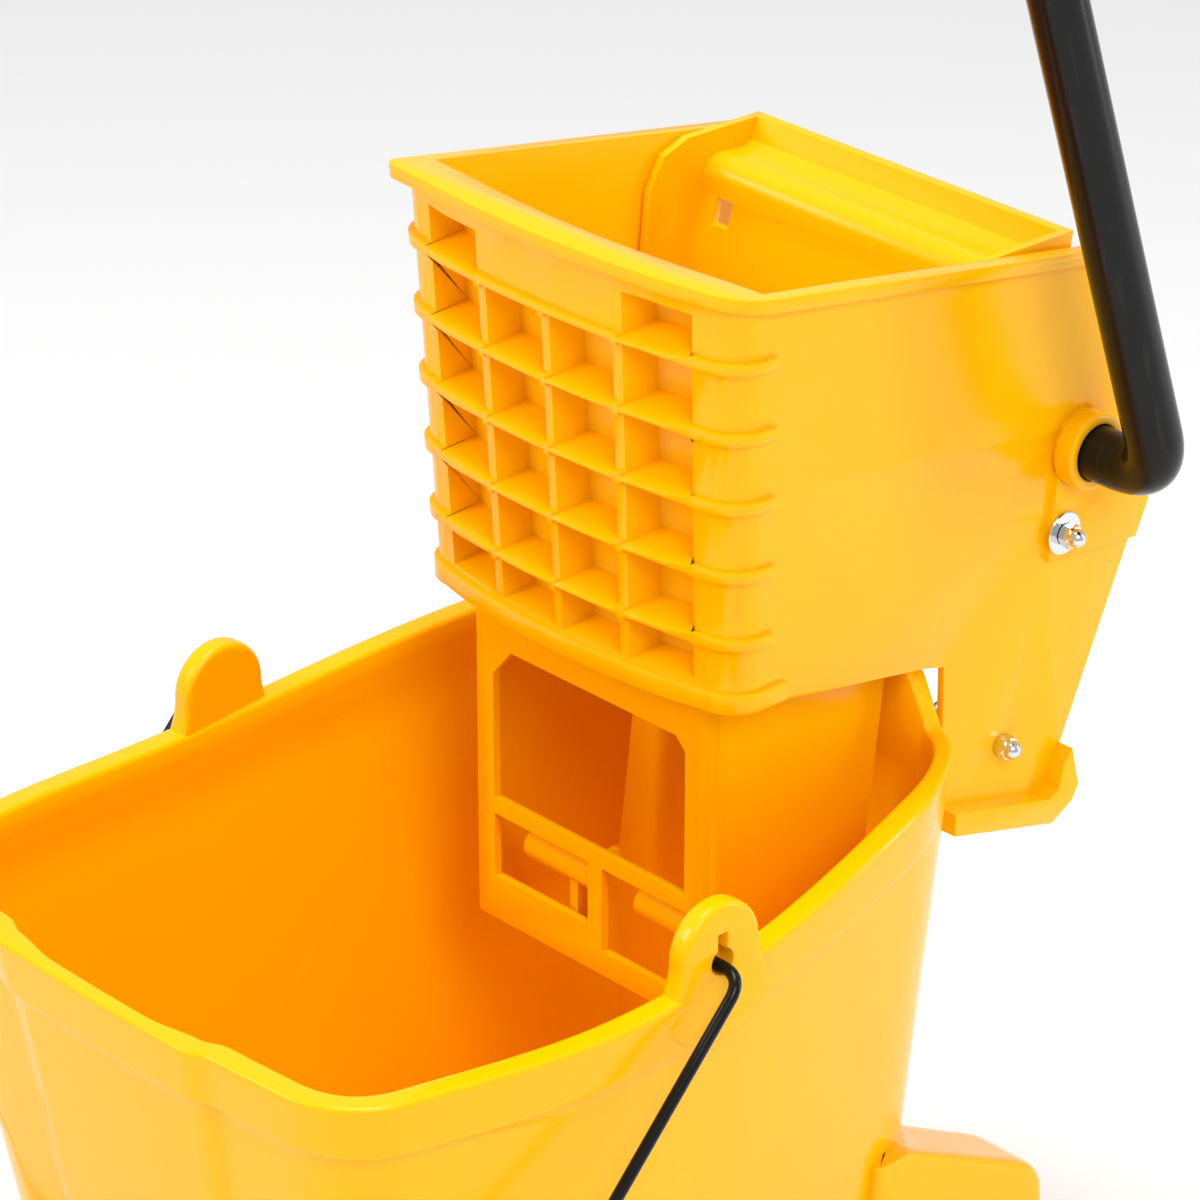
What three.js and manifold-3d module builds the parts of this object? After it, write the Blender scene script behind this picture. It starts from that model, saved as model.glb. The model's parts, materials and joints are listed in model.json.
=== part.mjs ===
// Mop bucket on four casters with a lever wringer hooked over its back wall.
// Millimetres, +Z up, +X to the right, the wringer at the back (+Y). Z is 0 on the floor.
import * as THREE from "three";
import { mergeVertices } from "three/addons/utils/BufferGeometryUtils.js";
import Module from "manifold-3d";

const wasm = await Module();
wasm.setup();

const mat = (color, roughness, metalness) =>
  new THREE.MeshStandardMaterial({ color, roughness, metalness });
const yellow = mat(0xffb900, 0.35, 0);
const blackPaint = mat(0x141414, 0.4, 0.2);
const blackPlastic = mat(0x181818, 0.6, 0);
const steel = mat(0xb8babd, 0.25, 1);
const greyRubber = mat(0x55585c, 0.7, 0);

const wheelR = 25;

// Tub, measured on the outside of its wall.
const baseZ = 2 * wheelR + 16; // underside of the tub above the floor
const tubDepth = 264;
const rimZ = baseZ + tubDepth; // lowest stretch of the rim
const rimRise = 24; // how much the rim climbs towards the back
const wall = 4;
const bandProud = 4.5;
const bandHeight = 27;
const rimWidth = 12.5;
const rim = { half: 162, front: -279.5, rear: 113, frontHalf: 114, rearHalf: 98, bow: 5 };
const base = {
  half: rim.half - 35,
  front: rim.front + 41,
  rear: rim.rear - 16,
  frontHalf: 84,
  rearHalf: 86,
  bow: 3,
};
const widestY = rim.front + 149.5;
const backWallRise = 27.5; // the tongue that the wringer hangs on
const tongueThick = 9.3;
const spoutHalf = 46; // the middle of the front rim, which has no ledge inside

// Ears and bail.
const earY = rim.front + 194.5;
const earWidth = 44;
const earTop = rimZ + 37;
const earX = rim.half - 2;
const earThick = 11;
const earHoleDeep = 8;
const bailZ = rimZ + 7.5;
const bailWire = 5.5;
const bailHalf = rim.half + 15 + (rim.half - 162) / 40;
const bailReach = 265;
const bailHang = 47 - (tubDepth - 264) / 20; // degrees below level, where the bail rests on the front wall
const bailHoleR = 6;
const bailGripLength = 112;
const bailGripR = 11;

// Casters and their housings.
const wheelWidth = 21;
const wheelSides = 28;
const axleR = 3;
const forkPlate = 2.5;
const trail = 18;
const casterX = rim.half - 60;
const rearCasterY = rim.rear + 27;
const frontCasterY = rim.front + 25.5;
const housingWidth = 42;
const housingTop = baseZ + 92;
const stemR = 5.5;

// Wringer and mechanism, for a tongue whose outside is at tongueY and whose top is at tongueZ.
const tongueY = 113;
const tongueZ = 381.5;
const bodyHalf = 97.5; // outside of the side walls at the shelf
const sideDraft = 0.037;
const frontDraft = 0.045;
const shelfZ = 405;
const shelfRearZ = 384;
const faceY = -15;
const hopperWall = 3.5;
const faceDepth = 19;
const hopperCorner = 16;
const rimFrontZ = 597;
const rimRear = new THREE.Vector2(197, 558);
const shoulder = new THREE.Vector2(242, 423);
const heel = new THREE.Vector2(190, 308);
const slotFront = 103;
const slotRear = 114;
const cheekBottomFront = new THREE.Vector2(116, 299);
const cheekBottomRear = new THREE.Vector2(180, 282);
const flangeOut = 3.6;
const flangeHigh = 6.5;
const ribPitch = 32.4;
const ribCount = 5;
const ribHigh = 5;
const ribProud = 2.8;
const pocketPitch = 39.6;
const pocketWidth = 33;
const pocketDepth = 15;
const pocketTaper = 3.5;
const frontBow = 9; // the front bulges this far at its middle
const rimCorner = { left: 8, right: 22 };
const skirtHalf = 77.5;
const skirtY = -7.5;
const skirtBottom = 236;
const windowHalf = 61.7;
const windowTop = 375;
const windowBottom = 298;

// Mechanism.
const hinge = new THREE.Vector2(154, 328); // lower rod, the plate's hinge
const shaft = new THREE.Vector2(194, 464); // lever shaft
const springBolt = new THREE.Vector2(185, 424.5);
const shaftR = 12.7;
const runGap = 0.35;
const bushR = 18;
const bushProud = 9;
const rodR = 3;
const tubeWall = 2;
const leverLean = 18.5;
const leverX = 150;
const leverBend = 26;
const leverLength = 462;
const gripLength = 125;
const gripR = 16;
const leverTravel = 70;
const plateTravel = 25;
const camReach = 70;
const camTipR = 9;
const camStart = 17;
const camX = 45;
const camThick = 14;
const camHubR = 20;
const plateGap = 2;
const plateTop = 566;
const floorRadius = 77; // the curved floor behind the drain, about the hinge rod

const rad = THREE.MathUtils.degToRad;
const V2 = (x, y) => new THREE.Vector2(x, y);

// ---- solids ----

function toSolid(geometry) {
  const bare = geometry.clone();
  bare.deleteAttribute("normal");
  bare.deleteAttribute("uv");
  const merged = mergeVertices(bare, 1e-4);
  return new wasm.Manifold(
    new wasm.Mesh({
      numProp: 3,
      vertProperties: new Float32Array(merged.attributes.position.array),
      triVerts: new Uint32Array(merged.index.array),
    }),
  );
}

const join = (solids) => solids.reduce((sum, solid) => sum.add(solid));
const cut = (solid, tools) => tools.reduce((left, tool) => left.subtract(tool), solid);

function toGeometry(solid) {
  const mesh = solid.getMesh();
  const count = mesh.vertProperties.length / mesh.numProp;
  const position = new Float32Array(count * 3);
  for (let i = 0; i < count; i++) {
    for (let k = 0; k < 3; k++) position[3 * i + k] = mesh.vertProperties[mesh.numProp * i + k];
  }
  const geometry = new THREE.BufferGeometry();
  geometry.setAttribute("position", new THREE.BufferAttribute(position, 3));
  geometry.setIndex(new THREE.BufferAttribute(new Uint32Array(mesh.triVerts), 1));
  return geometry;
}

// Moves every corner of a solid by a function of its place; a closed solid stays closed.
function warp(solid, move) {
  const geometry = toGeometry(solid);
  const position = geometry.attributes.position;
  const p = new THREE.Vector3();
  for (let i = 0; i < position.count; i++) {
    p.fromBufferAttribute(position, i);
    move(p);
    position.setXYZ(i, p.x, p.y, p.z);
  }
  return toSolid(geometry);
}

function extruded(shape, depth, basis, offset, bevel = 0) {
  const geometry = new THREE.ExtrudeGeometry(shape, {
    depth: depth - 2 * bevel,
    bevelEnabled: bevel > 0,
    bevelThickness: bevel,
    bevelSize: bevel,
    bevelOffset: -bevel,
    bevelSegments: 1,
    curveSegments: 5,
  });
  geometry.translate(0, 0, bevel);
  geometry.applyMatrix4(basis);
  geometry.translate(offset.x, offset.y, offset.z);
  return toSolid(geometry);
}

const axis = (x, y, z) => new THREE.Vector3(x, y, z);
const basisX = new THREE.Matrix4().makeBasis(axis(0, 1, 0), axis(0, 0, 1), axis(1, 0, 0));
const basisY = new THREE.Matrix4().makeBasis(axis(1, 0, 0), axis(0, 0, 1), axis(0, -1, 0));
const basisZ = new THREE.Matrix4();

// A shape drawn in Y and Z, carried from x0 to x1.
const alongX = (shape, x0, x1, bevel) => extruded(shape, x1 - x0, basisX, axis(x0, 0, 0), bevel);
// A shape drawn in X and Z, carried from y0 to y1.
const alongY = (shape, y0, y1, bevel) => extruded(shape, y1 - y0, basisY, axis(0, y1, 0), bevel);
// A shape drawn in X and Y, carried from z0 to z1.
const alongZ = (shape, z0, z1, bevel) => extruded(shape, z1 - z0, basisZ, axis(0, 0, z0), bevel);

const outline = (points) => new THREE.Shape(points);

function disc(a, b, radius, sides = 20) {
  const points = [];
  for (let i = 0; i < sides; i++) {
    const turn = (2 * Math.PI * (i + 0.5)) / sides - Math.PI / 2;
    points.push(V2(a + radius * Math.cos(turn), b + radius * Math.sin(turn)));
  }
  return outline(points);
}

const rodX = (c, radius, x0, x1, sides) => alongX(disc(c.x, c.y, radius, sides), x0, x1);

function rectangle(a0, b0, a1, b1, corner = 0) {
  if (corner <= 0) return outline([V2(a0, b0), V2(a1, b0), V2(a1, b1), V2(a0, b1)]);
  const shape = new THREE.Shape();
  shape.absarc(a1 - corner, b0 + corner, corner, -Math.PI / 2, 0);
  shape.absarc(a1 - corner, b1 - corner, corner, 0, Math.PI / 2);
  shape.absarc(a0 + corner, b1 - corner, corner, Math.PI / 2, Math.PI);
  shape.absarc(a0 + corner, b0 + corner, corner, Math.PI, 1.5 * Math.PI);
  shape.closePath();
  return shape;
}

const box = (x0, y0, z0, x1, y1, z1) => alongZ(rectangle(x0, y0, x1, y1), z0, z1);

// A closed skin through rings of equal length, listed from the bottom up and running anticlockwise.
function loft(rings) {
  const size = rings[0].length;
  const position = rings.flat().flatMap((p) => [p.x, p.y, p.z]);
  const index = [];
  for (let r = 0; r + 1 < rings.length; r++) {
    for (let i = 0; i < size; i++) {
      const a = r * size + i;
      const b = r * size + ((i + 1) % size);
      index.push(a, b, b + size, a, b + size, a + size);
    }
  }
  const caps = [[rings[0], 0, true], [rings.at(-1), (rings.length - 1) * size, false]];
  for (const [ring, first, down] of caps) {
    for (const [a, b, c] of THREE.ShapeUtils.triangulateShape(ring.map((p) => V2(p.x, p.y)), [])) {
      index.push(first + a, first + (down ? c : b), first + (down ? b : c));
    }
  }
  const geometry = new THREE.BufferGeometry();
  geometry.setAttribute("position", new THREE.BufferAttribute(new Float32Array(position), 3));
  geometry.setIndex(index);
  return toSolid(geometry);
}

const group = new THREE.Group();
const wringer = new THREE.Group();
wringer.position.set(0, rim.rear - tongueY, rimZ + rimRise + backWallRise - tongueZ);
group.add(wringer);
let holder = group;

function addPiece(name, solid, material) {
  const geometry = toGeometry(solid).toNonIndexed();
  geometry.computeVertexNormals();
  const mesh = new THREE.Mesh(geometry, material);
  mesh.name = name;
  holder.add(mesh);
}

const sides = [["left", -1], ["right", 1]];
const mirrorX = (solid) => {
  const geometry = toGeometry(solid).toNonIndexed();
  geometry.applyMatrix4(new THREE.Matrix4().makeScale(-1, 1, 1));
  const position = geometry.attributes.position.array;
  for (let i = 0; i < position.length; i += 9) {
    for (let k = 0; k < 3; k++) {
      [position[i + 3 + k], position[i + 6 + k]] = [position[i + 6 + k], position[i + 3 + k]];
    }
  }
  return toSolid(geometry);
};
const handed = (solid, side) => (side > 0 ? solid : mirrorX(solid));

// ---- tub ----

// Half of the plan, from the middle of the front wall round the right side to the middle of the back.
function halfPlan(p) {
  const side = p.half / rim.half;
  const sideFront = p.front + 41.5 * side;
  const sideRear = p.rear - 55 * side;
  const path = new THREE.Path();
  path.moveTo(0, p.front);
  path.quadraticCurveTo(p.frontHalf / 2, p.front, p.frontHalf, p.front + p.bow);
  path.quadraticCurveTo(p.half * 0.9, p.front + 9, p.half * 0.932, sideFront);
  path.quadraticCurveTo(p.half, sideFront + 50, p.half, widestY);
  path.bezierCurveTo(p.half, widestY + 70, p.half * 0.95, sideRear - 63, p.half * 0.852, sideRear);
  path.quadraticCurveTo(p.half * 0.79, p.rear - 9, p.rearHalf, p.rear - 1);
  path.lineTo(0, p.rear);
  const steps = [2, 5, 3, 5, 5, 7];
  return path.curves.flatMap((curve, i) => curve.getPoints(steps[i]).slice(i ? 1 : 0));
}

function fullPlan(p) {
  const right = halfPlan(p);
  const left = right.slice(1, -1).reverse().map((q) => V2(-q.x, q.y));
  return right.concat(left);
}

const rimPlan = fullPlan(rim);
const basePlan = fullPlan(base);
const smooth = (t) => THREE.MathUtils.smoothstep(t, 0, 1);

// Height of the rim's top at a place on the plan.
function rimHeight(p) {
  const back = smooth((p.y + 125) / 245) * rimRise;
  const front = smooth((widestY - 5 - p.y) / 110) * 5;
  return rimZ + back + front;
}
const tongue = (p) => (p.y > rim.rear - 20 ? smooth((rim.rearHalf + 6 - Math.abs(p.x)) / 24) : 0);
const bandShare = (p) => 1 - smooth((p.y - 50) / 45);

// The wall's plan at a height, from the tapered wall's rim and base, moved outwards by out(point).
function wallRing(height, out) {
  const flat = rimPlan.map((p, i) => {
    const z = height(p);
    const t = (rimZ - z) / (rimZ - baseZ);
    const q = p.clone().lerp(basePlan[i], t);
    return { q, z, p };
  });
  return flat.map(({ q, z, p }, i) => {
    const before = flat[(i + flat.length - 1) % flat.length].q;
    const after = flat[(i + 1) % flat.length].q;
    const way = after.clone().sub(before).normalize();
    const step = out(p);
    return axis(q.x + way.y * step, q.y - way.x * step, z);
  });
}

// How far the rim's ledge reaches inwards from the wall's outside.
function lipIn(p) {
  const ledge = p.y < widestY ? smooth((Math.abs(p.x) - spoutHalf + 14) / 28) : 1;
  const side = wall + (rimWidth - bandProud - wall) * ledge;
  return side + (tongueThick - side) * tongue(p);
}

function tubShell() {
  const top = (p) => rimHeight(p) + backWallRise * tongue(p);
  const band = (p) => bandProud * bandShare(p);
  const outer = [
    wallRing(() => baseZ, () => -9),
    wallRing(() => baseZ + 9, () => 0),
    wallRing((p) => rimHeight(p) - bandHeight, () => 0),
    wallRing((p) => rimHeight(p) - bandHeight + 0.5, band),
    wallRing((p) => top(p) - 3, band),
    wallRing(top, (p) => band(p) - 2 - bandShare(p)),
  ];
  const lip = (p) => -lipIn(p);
  const inner = [
    wallRing(() => baseZ + wall, () => -wall - 9),
    wallRing(() => baseZ + wall + 9, () => -wall),
    wallRing((p) => rimHeight(p) - bandHeight + 3, () => -wall),
    wallRing((p) => rimHeight(p) - 12, lip),
    wallRing((p) => top(p) - 2, lip),
  ];
  inner.push(inner.at(-1).map((v) => axis(v.x, v.y, rimZ + 120)));
  return [loft(outer), loft(inner)];
}

// One caster housing: a tapered box that grows out of the foot of the wall, seen from the side.
function housing(nose, way) {
  const at = (back, z) => V2(nose - way * back, z);
  const points = [at(0, baseZ), at(0, baseZ + 30), at(2, baseZ + 40), at(9, baseZ + 48)];
  points.push(at(20, baseZ + 54), at(93, housingTop));
  points.push(at(130, housingTop + 14), at(130, baseZ));
  if (way > 0) points.reverse();
  const right = casterX + housingWidth / 2 - 1;
  const solid = alongX(outline(points), right - housingWidth, right, 1.5);
  const ends = [nose - way * 50, nose - way * 125].sort((a, b) => a - b);
  return cut(solid, [box(right - housingWidth + wall, ends[0], 0, right - wall, ends[1], 118)]);
}

const noses = [["rear", rearCasterY + 31, rearCasterY, 1], ["front", frontCasterY - 29, frontCasterY, -1]];

function makeTub() {
  const [outer, inner] = tubShell();
  const ear = new THREE.Shape();
  ear.moveTo(earY - earWidth / 2 - 9, rimZ - 12);
  ear.lineTo(earY + earWidth / 2 + 9, rimZ - 12);
  ear.quadraticCurveTo(earY + earWidth / 2, rimZ + 4, earY + earWidth / 2, earTop - earWidth / 2);
  ear.absarc(earY, earTop - earWidth / 2, earWidth / 2, 0, Math.PI, false);
  ear.quadraticCurveTo(earY - earWidth / 2, rimZ + 4, earY - earWidth / 2 - 9, rimZ - 12);
  const holeZ = bailZ + bailHoleR - bailWire / 2 - 0.5;
  let shell = outer;
  const holes = [];
  for (const [, side] of sides) {
    const earSolid = alongX(ear, earX - earThick / 2, earX + earThick / 2, 2.5);
    const floorX = earX + earThick / 2 - earHoleDeep;
    const keyhole = rodX(V2(earY, holeZ), bailHoleR, floorX, earX + 12, 16);
    const slot = alongX(rectangle(earY - 2.7, holeZ, earY + 2.7, holeZ + 13), floorX, earX + 12);
    shell = shell.add(handed(earSolid, side));
    holes.push(handed(keyhole.add(slot), side));
    for (const [, nose, casterY, way] of noses) {
      shell = shell.add(handed(housing(nose, way), side));
      const socket = alongZ(disc(side * casterX, casterY, stemR + 0.3, 16), baseZ - 1, baseZ + 32);
      holes.push(socket);
    }
  }
  return cut(shell, [inner, ...holes]);
}
addPiece("bucket_tub", makeTub(), yellow);

// ---- casters: stem, fork, wheel and axle ----

const wheelZ = wheelR * Math.cos(Math.PI / wheelSides);
const forkTop = baseZ - 4;

function makeCaster(name, x, y) {
  const wheelY = y + trail;
  const half = wheelWidth / 2;
  const stem = alongZ(disc(x, y, stemR, 16), baseZ - 3.6, baseZ + 28);
  addPiece(`${name}_stem`, stem.add(alongZ(disc(x, y, 13, 20), baseZ - 3.6, baseZ - 0.4)), steel);
  const cheek = new THREE.Shape();
  cheek.moveTo(wheelY - 9, wheelZ);
  cheek.absarc(wheelY, wheelZ, 9, Math.PI, 2 * Math.PI, false);
  cheek.lineTo(y + 15, forkTop - 8);
  cheek.lineTo(y + 15, forkTop);
  cheek.lineTo(y - 15, forkTop);
  cheek.lineTo(y - 12, forkTop - 12);
  const inside = half + 1.5;
  const plates = [alongX(cheek, x + inside, x + inside + forkPlate)];
  plates.push(alongX(cheek, x - inside - forkPlate, x - inside));
  const crown = box(x - inside - forkPlate, y - 15, forkTop - 3, x + inside + forkPlate, y + 15, forkTop);
  const bores = rodX(V2(wheelY, wheelZ), axleR + runGap, x - 20, x + 20, 16);
  addPiece(`${name}_fork`, cut(join([crown, ...plates]), [bores]), blackPlastic);
  const tread = alongX(disc(wheelY, wheelZ, wheelR, wheelSides), x - half, x + half, 2);
  const recess = (x0, x1) => alongX(disc(wheelY, wheelZ, wheelR - 6, 20), x0, x1);
  const wheelBore = rodX(V2(wheelY, wheelZ), axleR + runGap, x - 20, x + 20, 16);
  const hub = rodX(V2(wheelY, wheelZ), 8, x - half, x + half, 12);
  const rimOnly = cut(tread, [recess(x - half - 1, x - 3), recess(x + 3, x + half + 1)]);
  addPiece(`${name}_wheel`, cut(rimOnly.add(hub), [wheelBore]), greyRubber);
  const out = inside + forkPlate;
  const axle = rodX(V2(wheelY, wheelZ), axleR, x - out - 2, x + out + 2, 16);
  const heads = [rodX(V2(wheelY, wheelZ), 5, x - out - 2.4, x - out - 0.4, 16)];
  heads.push(rodX(V2(wheelY, wheelZ), 5, x + out + 0.4, x + out + 2.4, 16));
  addPiece(`${name}_axle`, join([axle, ...heads]), steel);
}
for (const [end, , casterY] of noses) {
  for (const [hand, side] of sides) makeCaster(`${end}_${hand}_caster`, side * casterX, casterY);
}

// ---- bail ----

function tubeAlong(points, bend, radius, steps, sidesRound, bore = 0) {
  const path = new THREE.CurvePath();
  let from = points[0];
  for (let i = 1; i + 1 < points.length; i++) {
    const corner = points[i];
    const enter = corner.clone().addScaledVector(from.clone().sub(corner).normalize(), bend);
    const leave = corner.clone().addScaledVector(points[i + 1].clone().sub(corner).normalize(), bend);
    path.add(new THREE.LineCurve3(from, enter));
    path.add(new THREE.QuadraticBezierCurve3(enter, corner, leave));
    from = leave;
  }
  path.add(new THREE.LineCurve3(from, points.at(-1)));
  const section = disc(0, 0, radius, sidesRound);
  if (bore > 0) section.holes.push(disc(0, 0, bore, sidesRound));
  return toSolid(new THREE.ExtrudeGeometry(section, { steps, extrudePath: path, curveSegments: 1 }));
}

function makeBail() {
  const drop = rad(bailHang);
  const barY = earY - bailReach * Math.cos(drop);
  const barZ = bailZ - bailReach * Math.sin(drop);
  const inEnd = earX + earThick / 2 - earHoleDeep + 1;
  const points = [
    axis(-inEnd, earY, bailZ),
    axis(-bailHalf, earY, bailZ),
    axis(-bailHalf, barY, barZ),
    axis(bailHalf, barY, barZ),
    axis(bailHalf, earY, bailZ),
    axis(inEnd, earY, bailZ),
  ];
  addPiece("bail_wire", tubeAlong(points, 11, bailWire / 2, 64, 7), blackPaint);
  const bar = V2(barY, barZ);
  const half = bailGripLength / 2;
  const grip = alongX(disc(barY, barZ, bailGripR, 20), -half, half, 1.5);
  const bore = rodX(bar, bailWire / 2 + runGap, -half - 1, half + 1, 12);
  addPiece("bail_grip", cut(grip, [bore]), blackPlastic);
}
makeBail();
holder = wringer;

// ---- wringer body ----

// Walls open out towards the top, and the front face leans forward.
function drafted(solid) {
  return warp(solid, (p) => {
    const up = Math.max(0, p.z - shelfZ);
    p.x += (p.x / bodyHalf) * sideDraft * up;
    p.y -= frontDraft * up * THREE.MathUtils.clamp(1 - (p.y - faceY) / 120, 0, 1.2);
  });
}

const shelfSlope = (shelfZ - shelfRearZ) / (slotFront - faceY);
const shelfAt = (y) => shelfZ - shelfSlope * (y - faceY);
const rimSlope = (rimFrontZ - rimRear.y) / (rimRear.x - faceY);
const rimAt = (y) => rimFrontZ - rimSlope * (y - faceY);

const bowAt = (x) => frontBow * Math.max(0, 1 - (x / (bodyHalf - 12)) ** 2);

// Plan of the hopper's wall: open at the back, bowed and rounded at the two front corners.
function hopperPlan(out, back, corners = { left: hopperCorner + out, right: hopperCorner + out }) {
  const half = bodyHalf + out;
  const front = faceY - out;
  const { left, right } = corners;
  const shape = new THREE.Shape();
  shape.moveTo(half, back);
  shape.lineTo(-half, back);
  shape.lineTo(-half, front + left);
  shape.absarc(-half + left, front + left, left, Math.PI, 1.5 * Math.PI, false);
  const from = -half + left;
  const width = 2 * half - left - right;
  for (let i = 1; i < 10; i++) shape.lineTo(from + (width * i) / 10, front - bowAt(from + (width * i) / 10));
  shape.absarc(half - right, front + right, right, 1.5 * Math.PI, 2 * Math.PI, false);
  shape.closePath();
  return shape;
}

const inHalf = bodyHalf - hopperWall;

// The space inside the hopper, its front bowed like the face.
function hollow(z0, z1) {
  const front = faceY + faceDepth;
  const points = [V2(inHalf, 320), V2(-inHalf, 320)];
  for (let i = 0; i <= 10; i++) {
    const x = -inHalf + (2 * inHalf * i) / 10;
    points.push(V2(x, front - bowAt(x)));
  }
  return alongZ(outline(points), z0, z1);
}

function slopedCut(low, high, front, back) {
  const points = [V2(front, low(front)), V2(back, low(back)), V2(back, high), V2(front, high)];
  return alongX(outline(points), -140, 140);
}

function sideCheek() {
  const points = [
    V2(60, shelfAt(60)),
    V2(slotFront, shelfAt(slotFront)),
    V2(slotRear + 1, shelfAt(slotRear) - 1.5),
    cheekBottomFront,
    cheekBottomRear,
    heel,
    shoulder,
    rimRear,
    V2(60, rimAt(60)),
  ];
  return alongX(outline(points), inHalf, bodyHalf);
}

function footFlange() {
  const points = [
    cheekBottomFront,
    cheekBottomRear,
    V2(heel.x + 3, heel.y - 19),
    V2(heel.x + 7, heel.y - 12),
    V2(heel.x + 2, heel.y + 8),
    V2(heel.x - 3, heel.y + 2),
    V2(heel.x - 6, heel.y - 10),
    V2(heel.x - 12, heel.y - 13),
    V2(cheekBottomFront.x, cheekBottomFront.y + 11),
  ];
  return alongX(outline(points), inHalf, bodyHalf + 9);
}

function shaftPad() {
  const front = shaft.x - 8;
  const points = [
    V2(front - 4, shaft.y + 13),
    V2(front - 8, shaft.y - 26),
    V2(springBolt.x - 8, springBolt.y - 12),
    V2(shoulder.x - 7, shoulder.y - 17),
    shoulder,
    V2(shoulder.x - 8, shoulder.y + 27),
    V2(front + 8, shaft.y + 19),
  ];
  return alongX(outline(points), inHalf, bodyHalf + 3);
}

function grille() {
  const pieces = [];
  for (let i = 0; i < ribCount; i++) {
    const z = shelfZ + (i + 0.9) * ribPitch;
    pieces.push(alongZ(hopperPlan(ribProud, faceY + 22), z - ribHigh / 2, z + ribHigh / 2));
  }
  const back = box(-90, faceY + 3, shelfZ + 20, 90, 60, rimFrontZ - 20);
  return cut(join(pieces), [back]);
}

// A blind pocket that narrows inwards, its floor bowed like the face.
function pocket(x, low, high) {
  const w = pocketWidth / 2;
  const out = pocketTaper / pocketDepth;
  const ring = (z, way) => {
    const corner = (side, y, grow) => axis(x + side * (w + grow), y, z + way * grow);
    const front = faceY - 22;
    const back = (side) => faceY + pocketDepth - bowAt(x + side * w);
    const mouth = [corner(-1, front, 22 * out), corner(1, front, 22 * out)];
    return [...mouth, corner(1, back(1), -pocketTaper), corner(-1, back(-1), -pocketTaper)];
  };
  return loft([ring(low, -1), ring(high, 1)]);
}

function pockets() {
  const tools = [];
  for (let row = 0; row <= ribCount; row++) {
    const low = row === 0 ? shelfZ + 8 : shelfZ + (row - 0.1) * ribPitch + ribHigh / 2;
    const ribAbove = shelfZ + (row + 0.9) * ribPitch - ribHigh / 2;
    const high = row === ribCount ? rimAt(faceY) - flangeHigh - 6 : ribAbove;
    for (let column = 0; column < 4; column++) {
      if (row === ribCount && (column === 1 || column === 2)) continue;
      tools.push(pocket((column - 1.5) * pocketPitch, low, high));
    }
  }
  return tools;
}

// The drain floor slopes down to the back wall, then curves up behind it round the hinge rod.
function hopperFloor() {
  const points = [V2(faceY + 4, shelfAt(faceY + 4)), V2(slotFront, shelfAt(slotFront))];
  const turns = 6;
  const first = Math.acos((slotRear - hinge.x) / floorRadius);
  const last = rad(90);
  for (let i = 0; i <= turns; i++) {
    const a = first + ((last - first) * i) / turns;
    points.push(V2(hinge.x + floorRadius * Math.cos(a), hinge.y + floorRadius * Math.sin(a)));
  }
  const under = points.map((p) => V2(p.x, p.y)).reverse();
  const top = under.map((p) => {
    const above = p.x <= slotFront;
    const away = p.clone().sub(hinge).setLength(floorRadius + 3).add(hinge);
    return above ? V2(p.x, p.y + 4) : away;
  });
  const narrow = outline([...points, ...top]);
  const wideEnd = slotFront - 11;
  const flat = outline([
    points[0],
    V2(wideEnd, shelfAt(wideEnd)),
    V2(wideEnd, shelfAt(wideEnd) + 4),
    V2(points[0].x, points[0].y + 4),
  ]);
  const floor = alongX(narrow, -floorHalf, floorHalf).add(alongX(flat, -inHalf - 1, inHalf + 1));
  const drains = [];
  for (let i = 0; i < 7; i++) {
    const x = (i - 3) * 20;
    drains.push(box(x - 5, 12, shelfRearZ - 20, x + 5, slotFront - 14, shelfZ + 20));
  }
  for (const [, side] of sides) {
    const x = side * camX;
    drains.push(box(x - camThick / 2 - 3, 130, shelfRearZ, x + camThick / 2 + 3, 200, shelfZ + 30));
  }
  return cut(floor, drains);
}
const armThick = 7;
const floorHalf = inHalf - plateGap - armThick - 3;

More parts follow.
